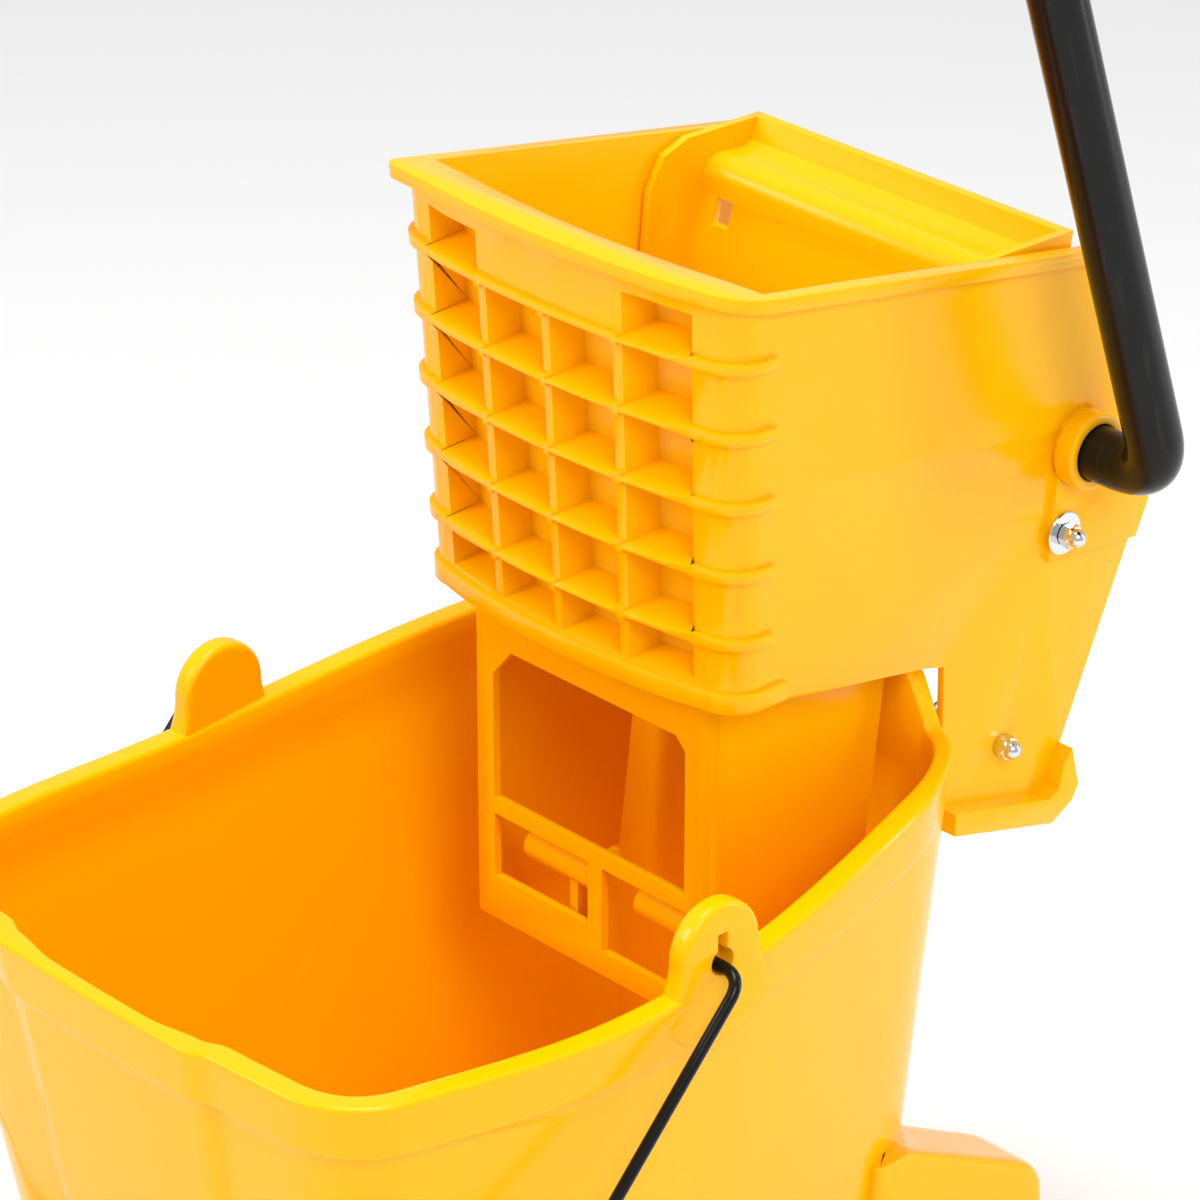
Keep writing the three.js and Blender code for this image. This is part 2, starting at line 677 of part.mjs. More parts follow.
function skirt() {
  const plan = new THREE.Shape();
  const corner = 8;
  plan.moveTo(skirtHalf, slotFront - 4);
  plan.lineTo(skirtHalf - wall, slotFront - 4);
  plan.lineTo(skirtHalf - wall, skirtY + wall);
  plan.lineTo(-skirtHalf + wall, skirtY + wall);
  plan.lineTo(-skirtHalf + wall, slotFront - 4);
  plan.lineTo(-skirtHalf, slotFront - 4);
  plan.lineTo(-skirtHalf, skirtY + corner);
  plan.absarc(-skirtHalf + corner, skirtY + corner, corner, Math.PI, 1.5 * Math.PI, false);
  plan.absarc(skirtHalf - corner, skirtY + corner, corner, 1.5 * Math.PI, 2 * Math.PI, false);
  plan.closePath();
  const shell = alongZ(plan, skirtBottom, shelfZ + 3);
  const view = outline([
    V2(-windowHalf, windowBottom),
    V2(windowHalf, windowBottom),
    V2(windowHalf, windowTop - 6),
    V2(windowHalf - 6, windowTop),
    V2(-windowHalf + 12, windowTop),
    V2(-windowHalf, windowTop - 14),
  ]);
  const lowTop = windowBottom - 8;
  const tools = [
    alongY(view, skirtY - 5, skirtY + wall + 5),
    alongY(rectangle(-windowHalf, skirtBottom + 22, 0, lowTop), skirtY - 5, skirtY + wall + 5),
    alongY(rectangle(9, skirtBottom + 12, windowHalf + 4, lowTop), skirtY - 5, skirtY + wall + 5),
  ];
  const backSlope = outline([
    V2(slotFront - 4, shelfRearZ - 6),
    V2(slotFront + 30, shelfRearZ - 6),
    V2(slotFront + 30, skirtBottom - 1),
    V2(slotFront - 22, skirtBottom - 1),
  ]);
  tools.push(alongX(backSlope, -100, 100));
  const stubZ = lowTop - 12;
  const stub = V2(skirtY + 10, stubZ);
  const stubs = [rodX(stub, 7.5, -45, 2, 16), rodX(stub, 7.5, 27, skirtHalf - 1, 16)];
  const rib = box(0, skirtY + 1, skirtBottom + 2, wall, skirtY + 16, lowTop + 2);
  const post = box(-18, skirtY + 6, skirtBottom + 4, -13, skirtY + 12, stubZ);
  const tie = box(-18, skirtY + 1, skirtBottom + 4, 2, skirtY + 12, skirtBottom + 12);
  return join([cut(shell, tools), ...stubs, rib, post, tie]);
}

function makeWringer() {
  const tall = cut(alongZ(hopperPlan(0, 62), shelfRearZ - 30, rimFrontZ + 40), [hollow(0, 700)]);
  const railPlan = hopperPlan(flangeOut, rimRear.x, rimCorner);
  const rails = cut(alongZ(railPlan, shelfRearZ, rimFrontZ + 40), [hollow(0, 700)]);
  const railFoot = (y) => rimAt(y) - flangeHigh;
  const underRail = outline([V2(-60, 0), V2(320, 0), V2(320, railFoot(320)), V2(-60, railFoot(-60))]);
  const railBand = cut(rails, [alongX(underRail, -140, 140)]);
  const lipBand = alongZ(hopperPlan(2.5, faceY + 30), shelfZ - 4, shelfZ + 5);
  const lip = cut(lipBand, [hollow(0, 700)]);
  let body = join([
    tall,
    grille(),
    sideCheek(),
    mirrorX(sideCheek()),
    shaftPad(),
    mirrorX(shaftPad()),
    footFlange(),
    mirrorX(footFlange()),
    hopperFloor(),
  ]);
  const under = [V2(-60, 0), V2(slotFront - 1, 0), V2(slotFront - 1, shelfAt(slotFront - 1))];
  body = cut(body, [...pockets(), alongX(outline([...under, V2(-60, shelfAt(-60))]), -140, 140)]);
  body = join([body, railBand, lip]);
  body = cut(body, [slopedCut(rimAt, rimFrontZ + 90, -60, 320)]);
  body = drafted(body).add(skirt());
  const through = 140;
  return cut(body, [
    rodX(shaft, shaftR + 3.6, -through, through, 28),
    rodX(hinge, rodR + runGap, -through, through, 12),
    rodX(springBolt, rodR + runGap, -through, through, 12),
  ]);
}
addPiece("wringer_body", makeWringer(), yellow);

// ---- lever, its bushes and cams ----

const padX = (bodyHalf + 3) * (1 + (sideDraft / bodyHalf) * (shaft.y + bushR - shelfZ));

function makeLever() {
  const lean = rad(leverLean);
  const legTop = V2(shaft.x - leverLength * Math.sin(lean), shaft.y + leverLength * Math.cos(lean));
  const points = [
    axis(-padX - bushProud - 6, shaft.x, shaft.y),
    axis(leverX, shaft.x, shaft.y),
    axis(leverX, legTop.x, legTop.y),
  ];
  addPiece("lever_tube", tubeAlong(points, leverBend, shaftR, 34, 14, shaftR - tubeWall), blackPaint);
  const a = V2(-Math.sin(lean), Math.cos(lean));
  const grip = new THREE.CylinderGeometry(gripR, gripR, gripLength + 6, 24);
  const bore = new THREE.CylinderGeometry(shaftR + runGap, shaftR + runGap, gripLength + 10, 24);
  const place = (geometry, along) => {
    geometry.rotateX(Math.PI / 2 + lean);
    geometry.translate(leverX, shaft.x + a.x * along, shaft.y + a.y * along);
    return toSolid(geometry);
  };
  const middle = leverLength - gripLength / 2 + 3;
  addPiece("lever_grip", cut(place(grip, middle), [place(bore, middle - 5 - 3)]), blackPlastic);
}
makeLever();

function makeBush(hand, side) {
  const flange = rodX(shaft, bushR, padX + 0.3, padX + bushProud, 28);
  const barrel = rodX(shaft, shaftR + 3.3, padX - 9, padX + 1, 28);
  const bore = rodX(shaft, shaftR + runGap, padX - 12, padX + bushProud + 4, 28);
  addPiece(`shaft_bush_${hand}`, handed(cut(flange.add(barrel), [bore]), side), yellow);
}

const turnAbout = (p, c, degrees) => p.clone().rotateAround(c, rad(degrees));
const camTip = V2(shaft.x - camReach * Math.sin(rad(camStart)), shaft.y - camReach * Math.cos(rad(camStart)));

// Centre of the cam's tip as the press plate sees it, with the lever at an angle.
function tipOnPlate(leverAngle) {
  const tip = turnAbout(camTip, shaft, -leverAngle);
  return turnAbout(tip, hinge, (-leverAngle * plateTravel) / leverTravel);
}

function makeCam(hand, side) {
  const arm = camTip.clone().sub(shaft).normalize();
  const across = V2(-arm.y, arm.x);
  const wide = camHubR - 3;
  const web = outline([
    shaft.clone().addScaledVector(across, -wide),
    shaft.clone().addScaledVector(across, wide),
    camTip.clone().addScaledVector(across, camTipR - 1),
    camTip.clone().addScaledVector(across, 1 - camTipR),
  ].reverse());
  const x0 = camX - camThick / 2;
  const x1 = camX + camThick / 2;
  const hub = rodX(shaft, camHubR, x0, x1, 28);
  const solid = join([hub, alongX(web, x0, x1), rodX(camTip, camTipR, x0, x1, 20)]);
  const bore = rodX(shaft, shaftR + runGap, x0 - 2, x1 + 2, 28);
  const screwHole = alongZ(disc(camX, shaft.x, 2.8, 12), shaft.y + 5, shaft.y + 40);
  addPiece(`press_cam_${hand}`, handed(cut(solid, [bore, screwHole]), side), blackPlastic);
  const shank = alongZ(disc(camX, shaft.x, 2.5, 12), shaft.y + shaftR + 0.4, shaft.y + camHubR + 1);
  const head = alongZ(disc(camX, shaft.x, 5, 6), shaft.y + camHubR + 0.4, shaft.y + camHubR + 4);
  addPiece(`cam_screw_${hand}`, handed(shank.add(head), side), steel);
}
for (const [hand, side] of sides) {
  makeBush(hand, side);
  makeCam(hand, side);
}

// ---- press plate ----

const plateHalf = inHalf - plateGap;
const backLine = (z) => hinge.x + ((189 - hinge.x) * (z - hinge.y)) / (plateTop - hinge.y);
const plateFoot = 424;
const wingTop = [V2(141, plateTop + 1), V2(126, plateTop - 4), V2(117, plateTop - 18)];
const wingFront = [V2(113, 519), V2(110, 480), V2(113, 440), V2(121, plateFoot)];
const panelFront = [V2(148, 540), V2(141, 519), V2(132, 480), V2(131, 440), V2(138, plateFoot)];
const panelThick = 4;

// The cams' track, kept clear of their tips by the running gap.
function camTrack() {
  const path = [];
  for (let a = 0; a <= leverTravel; a += leverTravel / 10) path.push(tipOnPlate(a));
  return path.map((p, i) => {
    const ahead = path[Math.min(i + 1, path.length - 1)];
    const behind = path[Math.max(i - 1, 0)];
    const way = ahead.clone().sub(behind).normalize();
    return p.clone().addScaledVector(V2(-way.y, way.x), camTipR + 0.6);
  });
}

function makePlate() {
  const wing = outline([
    V2(backLine(plateFoot) - 1, plateFoot),
    V2(189, plateTop),
    ...wingTop,
    ...wingFront,
  ]);
  const arm = outline([
    V2(hinge.x - 9, hinge.y),
    V2(hinge.x + 9, hinge.y),
    V2(backLine(plateFoot + 8) - 1, plateFoot + 8),
    V2(124, plateFoot + 8),
    V2(hinge.x - 8, hinge.y + 52),
  ]);
  const trough = [V2(189, plateTop), V2(184, plateTop), V2(180, plateTop - 10)];
  trough.push(V2(175, plateTop - 12), V2(164, plateTop - 11));
  const roll = [];
  for (let i = 0; i <= 6; i++) roll.push(V2(160, 544).add(V2(0, 11.5).rotateAround(V2(0, 0), rad(15 * i))));
  const skinLine = [...trough, ...roll, ...panelFront];
  const inner = skinLine.map((p, i) => {
    const next = skinLine[Math.min(i + 1, skinLine.length - 1)];
    const way = next.clone().sub(skinLine[Math.max(i - 1, 0)]).normalize();
    return p.clone().addScaledVector(V2(-way.y, way.x), panelThick);
  });
  inner[0].set(189, plateTop - 12);
  inner[1].set(185, plateTop - 14);
  const skin = outline([...skinLine, ...inner.reverse()]);
  const pieces = [alongX(skin, -plateHalf + 1, plateHalf - 1)];
  for (const [, side] of sides) {
    pieces.push(handed(alongX(wing, plateHalf - 4, plateHalf), side));
    pieces.push(handed(alongX(arm, plateHalf - armThick, plateHalf), side));
    pieces.push(handed(rodX(hinge, 9, plateHalf - armThick, plateHalf, 20), side));
    const ribBack = [V2(140, plateFoot), V2(camTrack()[0].x - 2, plateFoot), V2(175, 530)];
    const rib = outline([...ribBack, V2(147, 530), V2(134, 470), V2(134, 440)]);
    pieces.push(handed(alongX(rib, camX - 6, camX + 6), side));
  }
  const track = camTrack();
  const below = track[0].y - 25;
  const clear = outline([...track, V2(240, track.at(-1).y), V2(240, below), V2(track[0].x, below)]);
  const slots = [];
  for (const [, side] of sides) {
    slots.push(handed(alongX(clear, camX - camThick, camX + camThick), side));
    slots.push(handed(rodX(shaft, camHubR + 2, camX - camThick, camX + camThick, 28), side));
  }
  const peg = alongY(rectangle(-plateHalf + 14, 528, -plateHalf + 24, 540), 120, 200);
  const plate = cut(join(pieces), [...slots, peg, rodX(hinge, rodR + runGap, -140, 140, 12)]);
  return warp(plate, (p) => {
    p.x += (p.x / bodyHalf) * sideDraft * Math.max(0, p.z - shelfZ - 25);
  });
}
addPiece("press_plate", makePlate(), yellow);

// ---- rods, bolts, washers, nuts and springs ----

const nutWide = 10;
function acornNut(c, x, side) {
  const hex = alongX(disc(c.x, c.y, nutWide / 2 / Math.cos(Math.PI / 6), 6), x, x + 5);
  const dome = new THREE.SphereGeometry(4.3, 10, 5);
  dome.translate(x + 6.5, c.x, c.y);
  const neck = rodX(c, 4.3, x + 4, x + 6.6, 12);
  const thread = rodX(c, rodR + 0.3, x - 1, x + 6, 10);
  return handed(cut(join([hex, neck, toSolid(dome)]), [thread]), side);
}

const cheekX = bodyHalf;
const rod = rodX(hinge, rodR, -cheekX - 5.5, cheekX + 5.5, 12);
addPiece("plate_hinge_rod", rod, steel);
for (const [hand, side] of sides) {
  addPiece(`hinge_nut_${hand}`, acornNut(hinge, cheekX + 0.3, side), steel);
  const boltFace = bodyHalf + 3 + sideDraft * (springBolt.y - shelfZ) + 0.4;
  const washer = cut(rodX(springBolt, 10.2, boltFace, boltFace + 1.4, 28), [
    rodX(springBolt, rodR + 0.3, boltFace - 1, boltFace + 3, 12),
  ]);
  addPiece(`spring_washer_${hand}`, handed(washer, side), steel);
  const bolt = rodX(springBolt, rodR, inHalf - 13, boltFace + 7, 12);
  const head = rodX(springBolt, 5, inHalf - 13, inHalf - 10, 6);
  addPiece(`spring_bolt_${hand}`, handed(bolt.add(head), side), steel);
  addPiece(`spring_nut_${hand}`, acornNut(springBolt, boltFace + 1.8, side), steel);
}

function makeSpring(hand, side) {
  const coil = cut(rodX(hinge, 7.6, floorHalf - 26, floorHalf - 2, 20), [
    rodX(hinge, rodR + 1.6, floorHalf - 30, floorHalf + 2, 16),
  ]);
  addPiece(`return_spring_${hand}`, handed(coil, side), steel);
}
for (const [hand, side] of sides) makeSpring(hand, side);

const end = new THREE.CylinderGeometry(shaftR + 1.6, shaftR + 1.6, 3, 24);
end.rotateZ(Math.PI / 2);
end.translate(-padX - bushProud - 8, shaft.x, shaft.y);
addPiece("shaft_end_cap", toSolid(end), blackPlastic);

// The origin is on the floor under the middle of the whole object.
const whole = new THREE.Box3().setFromObject(group);
group.position.set(-(whole.min.x + whole.max.x) / 2, -(whole.min.y + whole.max.y) / 2, -whole.min.z);

export default group;
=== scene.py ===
import json
import math

import bpy
import bmesh
import numpy as np
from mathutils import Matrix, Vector


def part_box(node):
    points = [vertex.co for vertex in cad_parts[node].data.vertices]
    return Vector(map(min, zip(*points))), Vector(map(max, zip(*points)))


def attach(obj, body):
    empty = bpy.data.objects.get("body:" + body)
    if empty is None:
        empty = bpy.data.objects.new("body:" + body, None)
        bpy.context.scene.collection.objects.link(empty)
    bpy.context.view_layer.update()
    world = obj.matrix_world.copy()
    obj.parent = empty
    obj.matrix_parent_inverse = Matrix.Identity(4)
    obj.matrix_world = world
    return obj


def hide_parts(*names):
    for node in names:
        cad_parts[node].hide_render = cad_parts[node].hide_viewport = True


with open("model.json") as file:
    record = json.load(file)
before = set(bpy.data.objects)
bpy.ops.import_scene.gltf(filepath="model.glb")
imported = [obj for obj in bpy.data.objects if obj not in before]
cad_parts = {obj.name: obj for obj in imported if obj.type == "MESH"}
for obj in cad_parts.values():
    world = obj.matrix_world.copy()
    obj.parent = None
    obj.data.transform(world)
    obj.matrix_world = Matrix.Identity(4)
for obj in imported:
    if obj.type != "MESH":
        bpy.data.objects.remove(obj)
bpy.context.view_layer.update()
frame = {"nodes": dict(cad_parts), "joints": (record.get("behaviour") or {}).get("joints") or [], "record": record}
print("frame loaded:", len(frame["nodes"]), "nodes")

view = {"place": (1.5372, -1.4137, 1.4619), "target": (0.0, 0.0212, 0.417), "lens": 162.4}

cameraData = bpy.data.cameras.new("studioCamera")
cameraData.lens = view["lens"]
cameraData.clip_end = 50
camera = bpy.data.objects.new("studioCamera", cameraData)
bpy.context.scene.collection.objects.link(camera)
camera.location = view["place"]
camera.rotation_euler = (Vector(view["target"]) - Vector(view["place"])).to_track_quat("-Z", "Y").to_euler()
bpy.context.scene.camera = camera


def newGroup(name, inputs, outputs):
    # inputs: (name, kind, default); outputs: (name, kind)
    group = bpy.data.node_groups.new(name, "ShaderNodeTree")
    for label, kind, default in inputs:
        socket = group.interface.new_socket(label, in_out="INPUT", socket_type="NodeSocket" + kind)
        socket.default_value = default
    for label, kind in outputs:
        group.interface.new_socket(label, in_out="OUTPUT", socket_type="NodeSocket" + kind)
    return group, group.nodes.new("NodeGroupInput"), group.nodes.new("NodeGroupOutput")


def addNode(tree, kind, settings=None, inputs=None):
    node = tree.nodes.new("ShaderNode" + kind)
    for key, value in (settings or {}).items():
        setattr(node, key, value)
    for key, value in (inputs or {}).items():
        if isinstance(value, bpy.types.NodeSocket):
            tree.links.new(value, node.inputs[key])
        else:
            node.inputs[key].default_value = value
    return node


def mathNode(tree, operation, a, b=0.5, clamp=False):
    node = addNode(tree, "Math", {"operation": operation, "use_clamp": clamp}, {0: a, 1: b})
    return node.outputs[0]


def mixColour(tree, factor, a, b, blend="MIX"):
    node = addNode(tree, "Mix", {"data_type": "RGBA", "blend_type": blend}, {0: factor, 6: a, 7: b})
    return node.outputs[2]


def noiseAt(tree, coords, scale, detail=3.0, rough=0.5):
    node = addNode(tree, "TexNoise", None, {"Vector": coords, "Scale": scale, "Detail": detail,
                                            "Roughness": rough})
    return node.outputs["Fac"]


def makeMouldedGroup():
    # colour that drifts slowly, with faint flow marks; fine grain and slow waves for the bump
    group, given, out = newGroup("mouldedSkin", [
        ("Colour", "Color", (1, 1, 1, 1)), ("Deep", "Color", (1, 1, 1, 1)), ("Drift", "Float", 0.3),
        ("Rough", "Float", 0.3), ("RoughSpread", "Float", 0.08), ("GrainScale", "Float", 900.0),
        ("Waves", "Float", 0.5)],
        [("Colour", "Color"), ("Rough", "Float"), ("Height", "Float")])
    coords = addNode(group, "TexCoord").outputs["Object"]
    slow = noiseAt(group, coords, 7.0, 2.0)
    drift = mathNode(group, "MULTIPLY", slow, given.outputs["Drift"])
    stretched = addNode(group, "Mapping", None, {"Vector": coords, "Scale": (14.0, 14.0, 3.0)}).outputs[0]
    flow = noiseAt(group, stretched, 2.0, 4.0)
    roughDrift = mathNode(group, "SUBTRACT", flow, 0.5)
    roughDrift = mathNode(group, "MULTIPLY", roughDrift, given.outputs["RoughSpread"])
    grain = noiseAt(group, coords, given.outputs["GrainScale"], 2.0)
    waves = noiseAt(group, coords, 16.0, 2.0)
    waves = mathNode(group, "MULTIPLY", waves, given.outputs["Waves"])
    height = mathNode(group, "ADD", mathNode(group, "MULTIPLY", grain, 0.02), waves)
    group.links.new(mixColour(group, drift, given.outputs["Colour"], given.outputs["Deep"]),
                    out.inputs["Colour"])
    rough = mathNode(group, "ADD", given.outputs["Rough"], roughDrift, True)
    group.links.new(rough, out.inputs["Rough"])
    group.links.new(height, out.inputs["Height"])
    return group


def makeScuffGroup():
    # short thin scratches in two directions and small rubbed spots, as a mask from 0 to 1
    group, given, out = newGroup("scuffMarks", [("Amount", "Float", 0.5), ("Size", "Float", 1.0)],
                                 [("Mask", "Float")])
    coords = addNode(group, "TexCoord").outputs["Object"]
    masks = []
    for turn, seed in ((0.5, 3.1), (-0.9, 7.7)):
        placed = addNode(group, "Mapping", None, {"Vector": coords, "Rotation": (turn, 0.3, turn),
                                                  "Location": (seed, 0, 0),
                                                  "Scale": (420.0, 22.0, 22.0)})
        line = noiseAt(group, placed.outputs[0], given.outputs["Size"], 2.0, 0.4)
        masks.append(addNode(group, "MapRange", None, {0: line, 1: 0.66, 2: 0.78}).outputs[0])
    spots = noiseAt(group, coords, 60.0, 6.0, 0.7)
    masks.append(addNode(group, "MapRange", None, {0: spots, 1: 0.67, 2: 0.8}).outputs[0])
    most = mathNode(group, "MAXIMUM", mathNode(group, "MAXIMUM", masks[0], masks[1]), masks[2])
    group.links.new(mathNode(group, "MULTIPLY", most, given.outputs["Amount"], True), out.inputs["Mask"])
    return group


mouldedSkin = makeMouldedGroup()
scuffMarks = makeScuffGroup()


def placedGroup(tree, group, values):
    node = tree.nodes.new("ShaderNodeGroup")
    node.node_tree = group
    for key, value in values.items():
        if isinstance(value, bpy.types.NodeSocket):
            tree.links.new(value, node.inputs[key])
        else:
            node.inputs[key].default_value = value
    return node


def newFinish(name, colour, deep, rough, spread=0.08, drift=0.4, grain=900.0, waves=0.4, bump=0.08,
              scuff=0.3, scuffColour=(1, 1, 1, 1), scuffRough=0.2, metallic=0.0, coat=0.0, ior=1.49,
              shine=0.5):
    material = bpy.data.materials.new(name)
    material.use_nodes = True
    tree = material.node_tree
    shader = tree.nodes["Principled BSDF"]
    shader.inputs["Metallic"].default_value = metallic
    shader.inputs["IOR"].default_value = ior
    shader.inputs["Specular IOR Level"].default_value = shine
    shader.inputs["Coat Weight"].default_value = coat
    shader.inputs["Coat Roughness"].default_value = 0.12
    skin = placedGroup(tree, mouldedSkin, {"Colour": colour, "Deep": deep, "Drift": drift, "Rough": rough,
                                           "RoughSpread": spread, "GrainScale": grain, "Waves": waves})
    marks = placedGroup(tree, scuffMarks, {"Amount": scuff, "Size": 1.0})
    painted = mixColour(tree, marks.outputs["Mask"], skin.outputs["Colour"], scuffColour)
    tree.links.new(painted, shader.inputs["Base Color"])
    rubbed = mathNode(tree, "MULTIPLY", marks.outputs["Mask"], scuffRough)
    tree.links.new(mathNode(tree, "ADD", skin.outputs["Rough"], rubbed, True), shader.inputs["Roughness"])
    relief = addNode(tree, "Bump", None, {"Strength": bump, "Distance": 0.001,
                                          "Height": skin.outputs["Height"]})
    tree.links.new(relief.outputs["Normal"], shader.inputs["Normal"])
    return material


yellow = {"colour": (1.0, 0.49, 0.0, 1), "deep": (0.97, 0.43, 0.0, 1), "shine": 0.22}
bucketPlastic = newFinish("bucketPlastic", yellow["colour"], yellow["deep"], 0.17, scuff=0.08,
                          scuffColour=(1.0, 0.6, 0.03, 1), shine=yellow["shine"])
wringerPlastic = newFinish("wringerPlastic", yellow["colour"], yellow["deep"], 0.19, scuff=0.08,
                           scuffColour=(1.0, 0.6, 0.03, 1), shine=yellow["shine"])
platePlastic = newFinish("pressPlatePlastic", yellow["colour"], yellow["deep"], 0.2, scuff=0.08,
                         scuffColour=(1.0, 0.6, 0.03, 1), shine=yellow["shine"])
blackEnamel = newFinish("blackEnamel", (0.005, 0.005, 0.005, 1), (0.008, 0.008, 0.008, 1), 0.2, waves=0.5,
                        grain=500.0, bump=0.12, scuff=0.3, scuffColour=(0.05, 0.046, 0.04, 1), shine=0.2)
blackRubber = newFinish("blackRubberGrip", (0.02, 0.02, 0.021, 1), (0.035, 0.034, 0.033, 1), 0.62,
                        grain=1400.0, bump=0.3, scuff=0.3, scuffColour=(0.1, 0.1, 0.1, 1))
blackNylon = newFinish("blackNylon", (0.02, 0.02, 0.02, 1), (0.04, 0.038, 0.036, 1), 0.5, grain=1200.0,
                       bump=0.2, scuff=0.4, scuffColour=(0.12, 0.12, 0.12, 1))
wheelRubber = newFinish("greyWheelRubber", (0.11, 0.11, 0.115, 1), (0.17, 0.165, 0.16, 1), 0.6,
                        grain=1200.0, bump=0.25, drift=0.8, scuff=0.5, scuffColour=(0.3, 0.29, 0.27, 1))
brightPlate = newFinish("brightZincPlate", (0.74, 0.75, 0.76, 1), (0.62, 0.62, 0.62, 1), 0.14, spread=0.14,
                        grain=700.0, bump=0.05, scuff=0.35, scuffColour=(0.5, 0.5, 0.49, 1),
                        metallic=1.0, ior=2.0)
finishes = {"bucket_plastic": bucketPlastic, "wringer_plastic": wringerPlastic,
            "press_plate_plastic": platePlastic, "black_enamel": blackEnamel, "black_grip": blackRubber,
            "black_nylon": blackNylon, "grey_wheel": wheelRubber, "bright_zinc": brightPlate}
slotOf = {part["node"]: part["material_slot"] for part in frame["record"]["subparts"]}
bodyOf = {node: body for body, nodes in frame["record"]["behaviour"]["bodies"].items() for node in nodes}
for name, node in frame["nodes"].items():
    node.data.materials.clear()
    node.data.materials.append(finishes[slotOf[name]])
print("materials ready")


def pieceFrom(name, points, faces, node, smoothAngle=35.0, stands=True):
    # a smooth closed piece in the finish and on the body of a CAD node, which it may stand for
    mesh = bpy.data.meshes.new(name)
    mesh.from_pydata(points.reshape(-1, 3).tolist(), [], faces)
    mesh.validate()
    shell = bmesh.new()
    shell.from_mesh(mesh)
    bmesh.ops.remove_doubles(shell, verts=shell.verts, dist=1e-6)
    bmesh.ops.recalc_face_normals(shell, faces=shell.faces)
    shell.to_mesh(mesh)
    shell.free()
    mesh.polygons.foreach_set("use_smooth", [True] * len(mesh.polygons))
    mesh.set_sharp_from_angle(angle=math.radians(smoothAngle))
    mesh.materials.append(finishes[slotOf[node]])
    piece = bpy.data.objects.new(name, mesh)
    bpy.context.scene.collection.objects.link(piece)
    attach(piece, bodyOf[node])
    if stands:
        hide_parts(node)
    return piece


def gridFaces(rows, columns, wrapRows=False, wrapColumns=True):
    # quads of a grid of rows by columns, joined round where asked
    r = np.arange(rows if wrapRows else rows - 1)[:, None]
    c = np.arange(columns if wrapColumns else columns - 1)[None, :]
    r2, c2 = (r + 1) % rows, (c + 1) % columns
    quads = [r * columns + c, r * columns + c2, r2 * columns + c2, r2 * columns + c]
    return np.stack(quads, -1).reshape(-1, 4)


def closedGrid(name, grid, node, smoothAngle=35.0, stands=True, wrapRows=False):
    # a grid (rows, columns, 3) that closes round its columns; its first and last rows are filled
    rows, columns = grid.shape[:2]
    faces = gridFaces(rows, columns, wrapRows).tolist()
    if not wrapRows:
        faces += [list(range(columns))[::-1], list(range((rows - 1) * columns, rows * columns))]
    return pieceFrom(name, grid, faces, node, smoothAngle, stands)


def spunPiece(name, profile, centre, axis, node, sides=64, smoothAngle=35.0, stands=True, closed=False):
    # profile points (radius, along) turned about the axis through centre: p + along*axis + radius*ring
    turn = np.linspace(0, 2 * np.pi, sides, endpoint=False)
    axis = np.array(axis, float) / np.linalg.norm(axis)
    helper = np.array([0, 0, 1.0]) if abs(axis[2]) < 0.9 else np.array([1.0, 0, 0])
    across = np.cross(helper, axis)
    across /= np.linalg.norm(across)
    upward = np.cross(axis, across)
    ring = np.cos(turn)[:, None] * across + np.sin(turn)[:, None] * upward
    profile = np.array(profile, float)
    grid = (np.array(centre, float) + profile[:, None, 1:2] * axis + profile[:, None, 0:1] * ring[None])
    return closedGrid(name, grid, node, smoothAngle, stands, wrapRows=closed)


def arcPoints(centre, radius, start, end, count):
    # points of an arc from start to end, in degrees
    a = np.radians(np.linspace(start, end, count))
    return np.stack([centre[0] + radius * np.cos(a), centre[1] + radius * np.sin(a)], -1)


def sweptTube(name, path, radius, node, sides=40, stands=True, smoothAngle=50.0):
    # a round section carried along a path, its frame turned as little as possible from step to step
    ahead = np.gradient(path, axis=0)
    ahead /= np.linalg.norm(ahead, axis=1, keepdims=True)
    side = np.zeros_like(path)
    start = np.array([0, 0, 1.0]) if abs(ahead[0, 2]) < 0.9 else np.array([0, 1.0, 0])
    side[0] = np.cross(start, ahead[0])
    for i in range(1, len(path)):
        side[i] = side[i - 1] - ahead[i] * np.dot(side[i - 1], ahead[i])
        side[i] /= np.linalg.norm(side[i])
    side[0] /= np.linalg.norm(side[0])
    other = np.cross(ahead, side)
    turn = np.linspace(0, 2 * np.pi, sides, endpoint=False)
    grow = np.broadcast_to(np.array(radius, float), (len(path),))
    grid = path[:, None] + grow[:, None, None] * (np.cos(turn)[None, :, None] * side[:, None]
                                                  + np.sin(turn)[None, :, None] * other[:, None])
    return closedGrid(name, grid, node, smoothAngle, stands)


def bentPath(corners, bend, steps=24, straight=12):
    # straight runs joined by quadratic curves that start one bend length before each corner
    corners = [np.array(c, float) for c in corners]
    parts = []
    start = corners[0]
    for i in range(1, len(corners) - 1):
        corner, after = corners[i], corners[i + 1]
        enter = corner + bend * (start - corner) / np.linalg.norm(start - corner)
        leave = corner + bend * (after - corner) / np.linalg.norm(after - corner)
        t = np.linspace(0, 1, straight, endpoint=False)[:, None]
        parts.append(start + (enter - start) * t)
        t = np.linspace(0, 1, steps, endpoint=False)[:, None]
        parts.append((1 - t) ** 2 * enter + 2 * t * (1 - t) * corner + t ** 2 * leave)
        start = leave
    t = np.linspace(0, 1, straight)[:, None]
    parts.append(start + (corners[-1] - start) * t)
    return np.concatenate(parts)


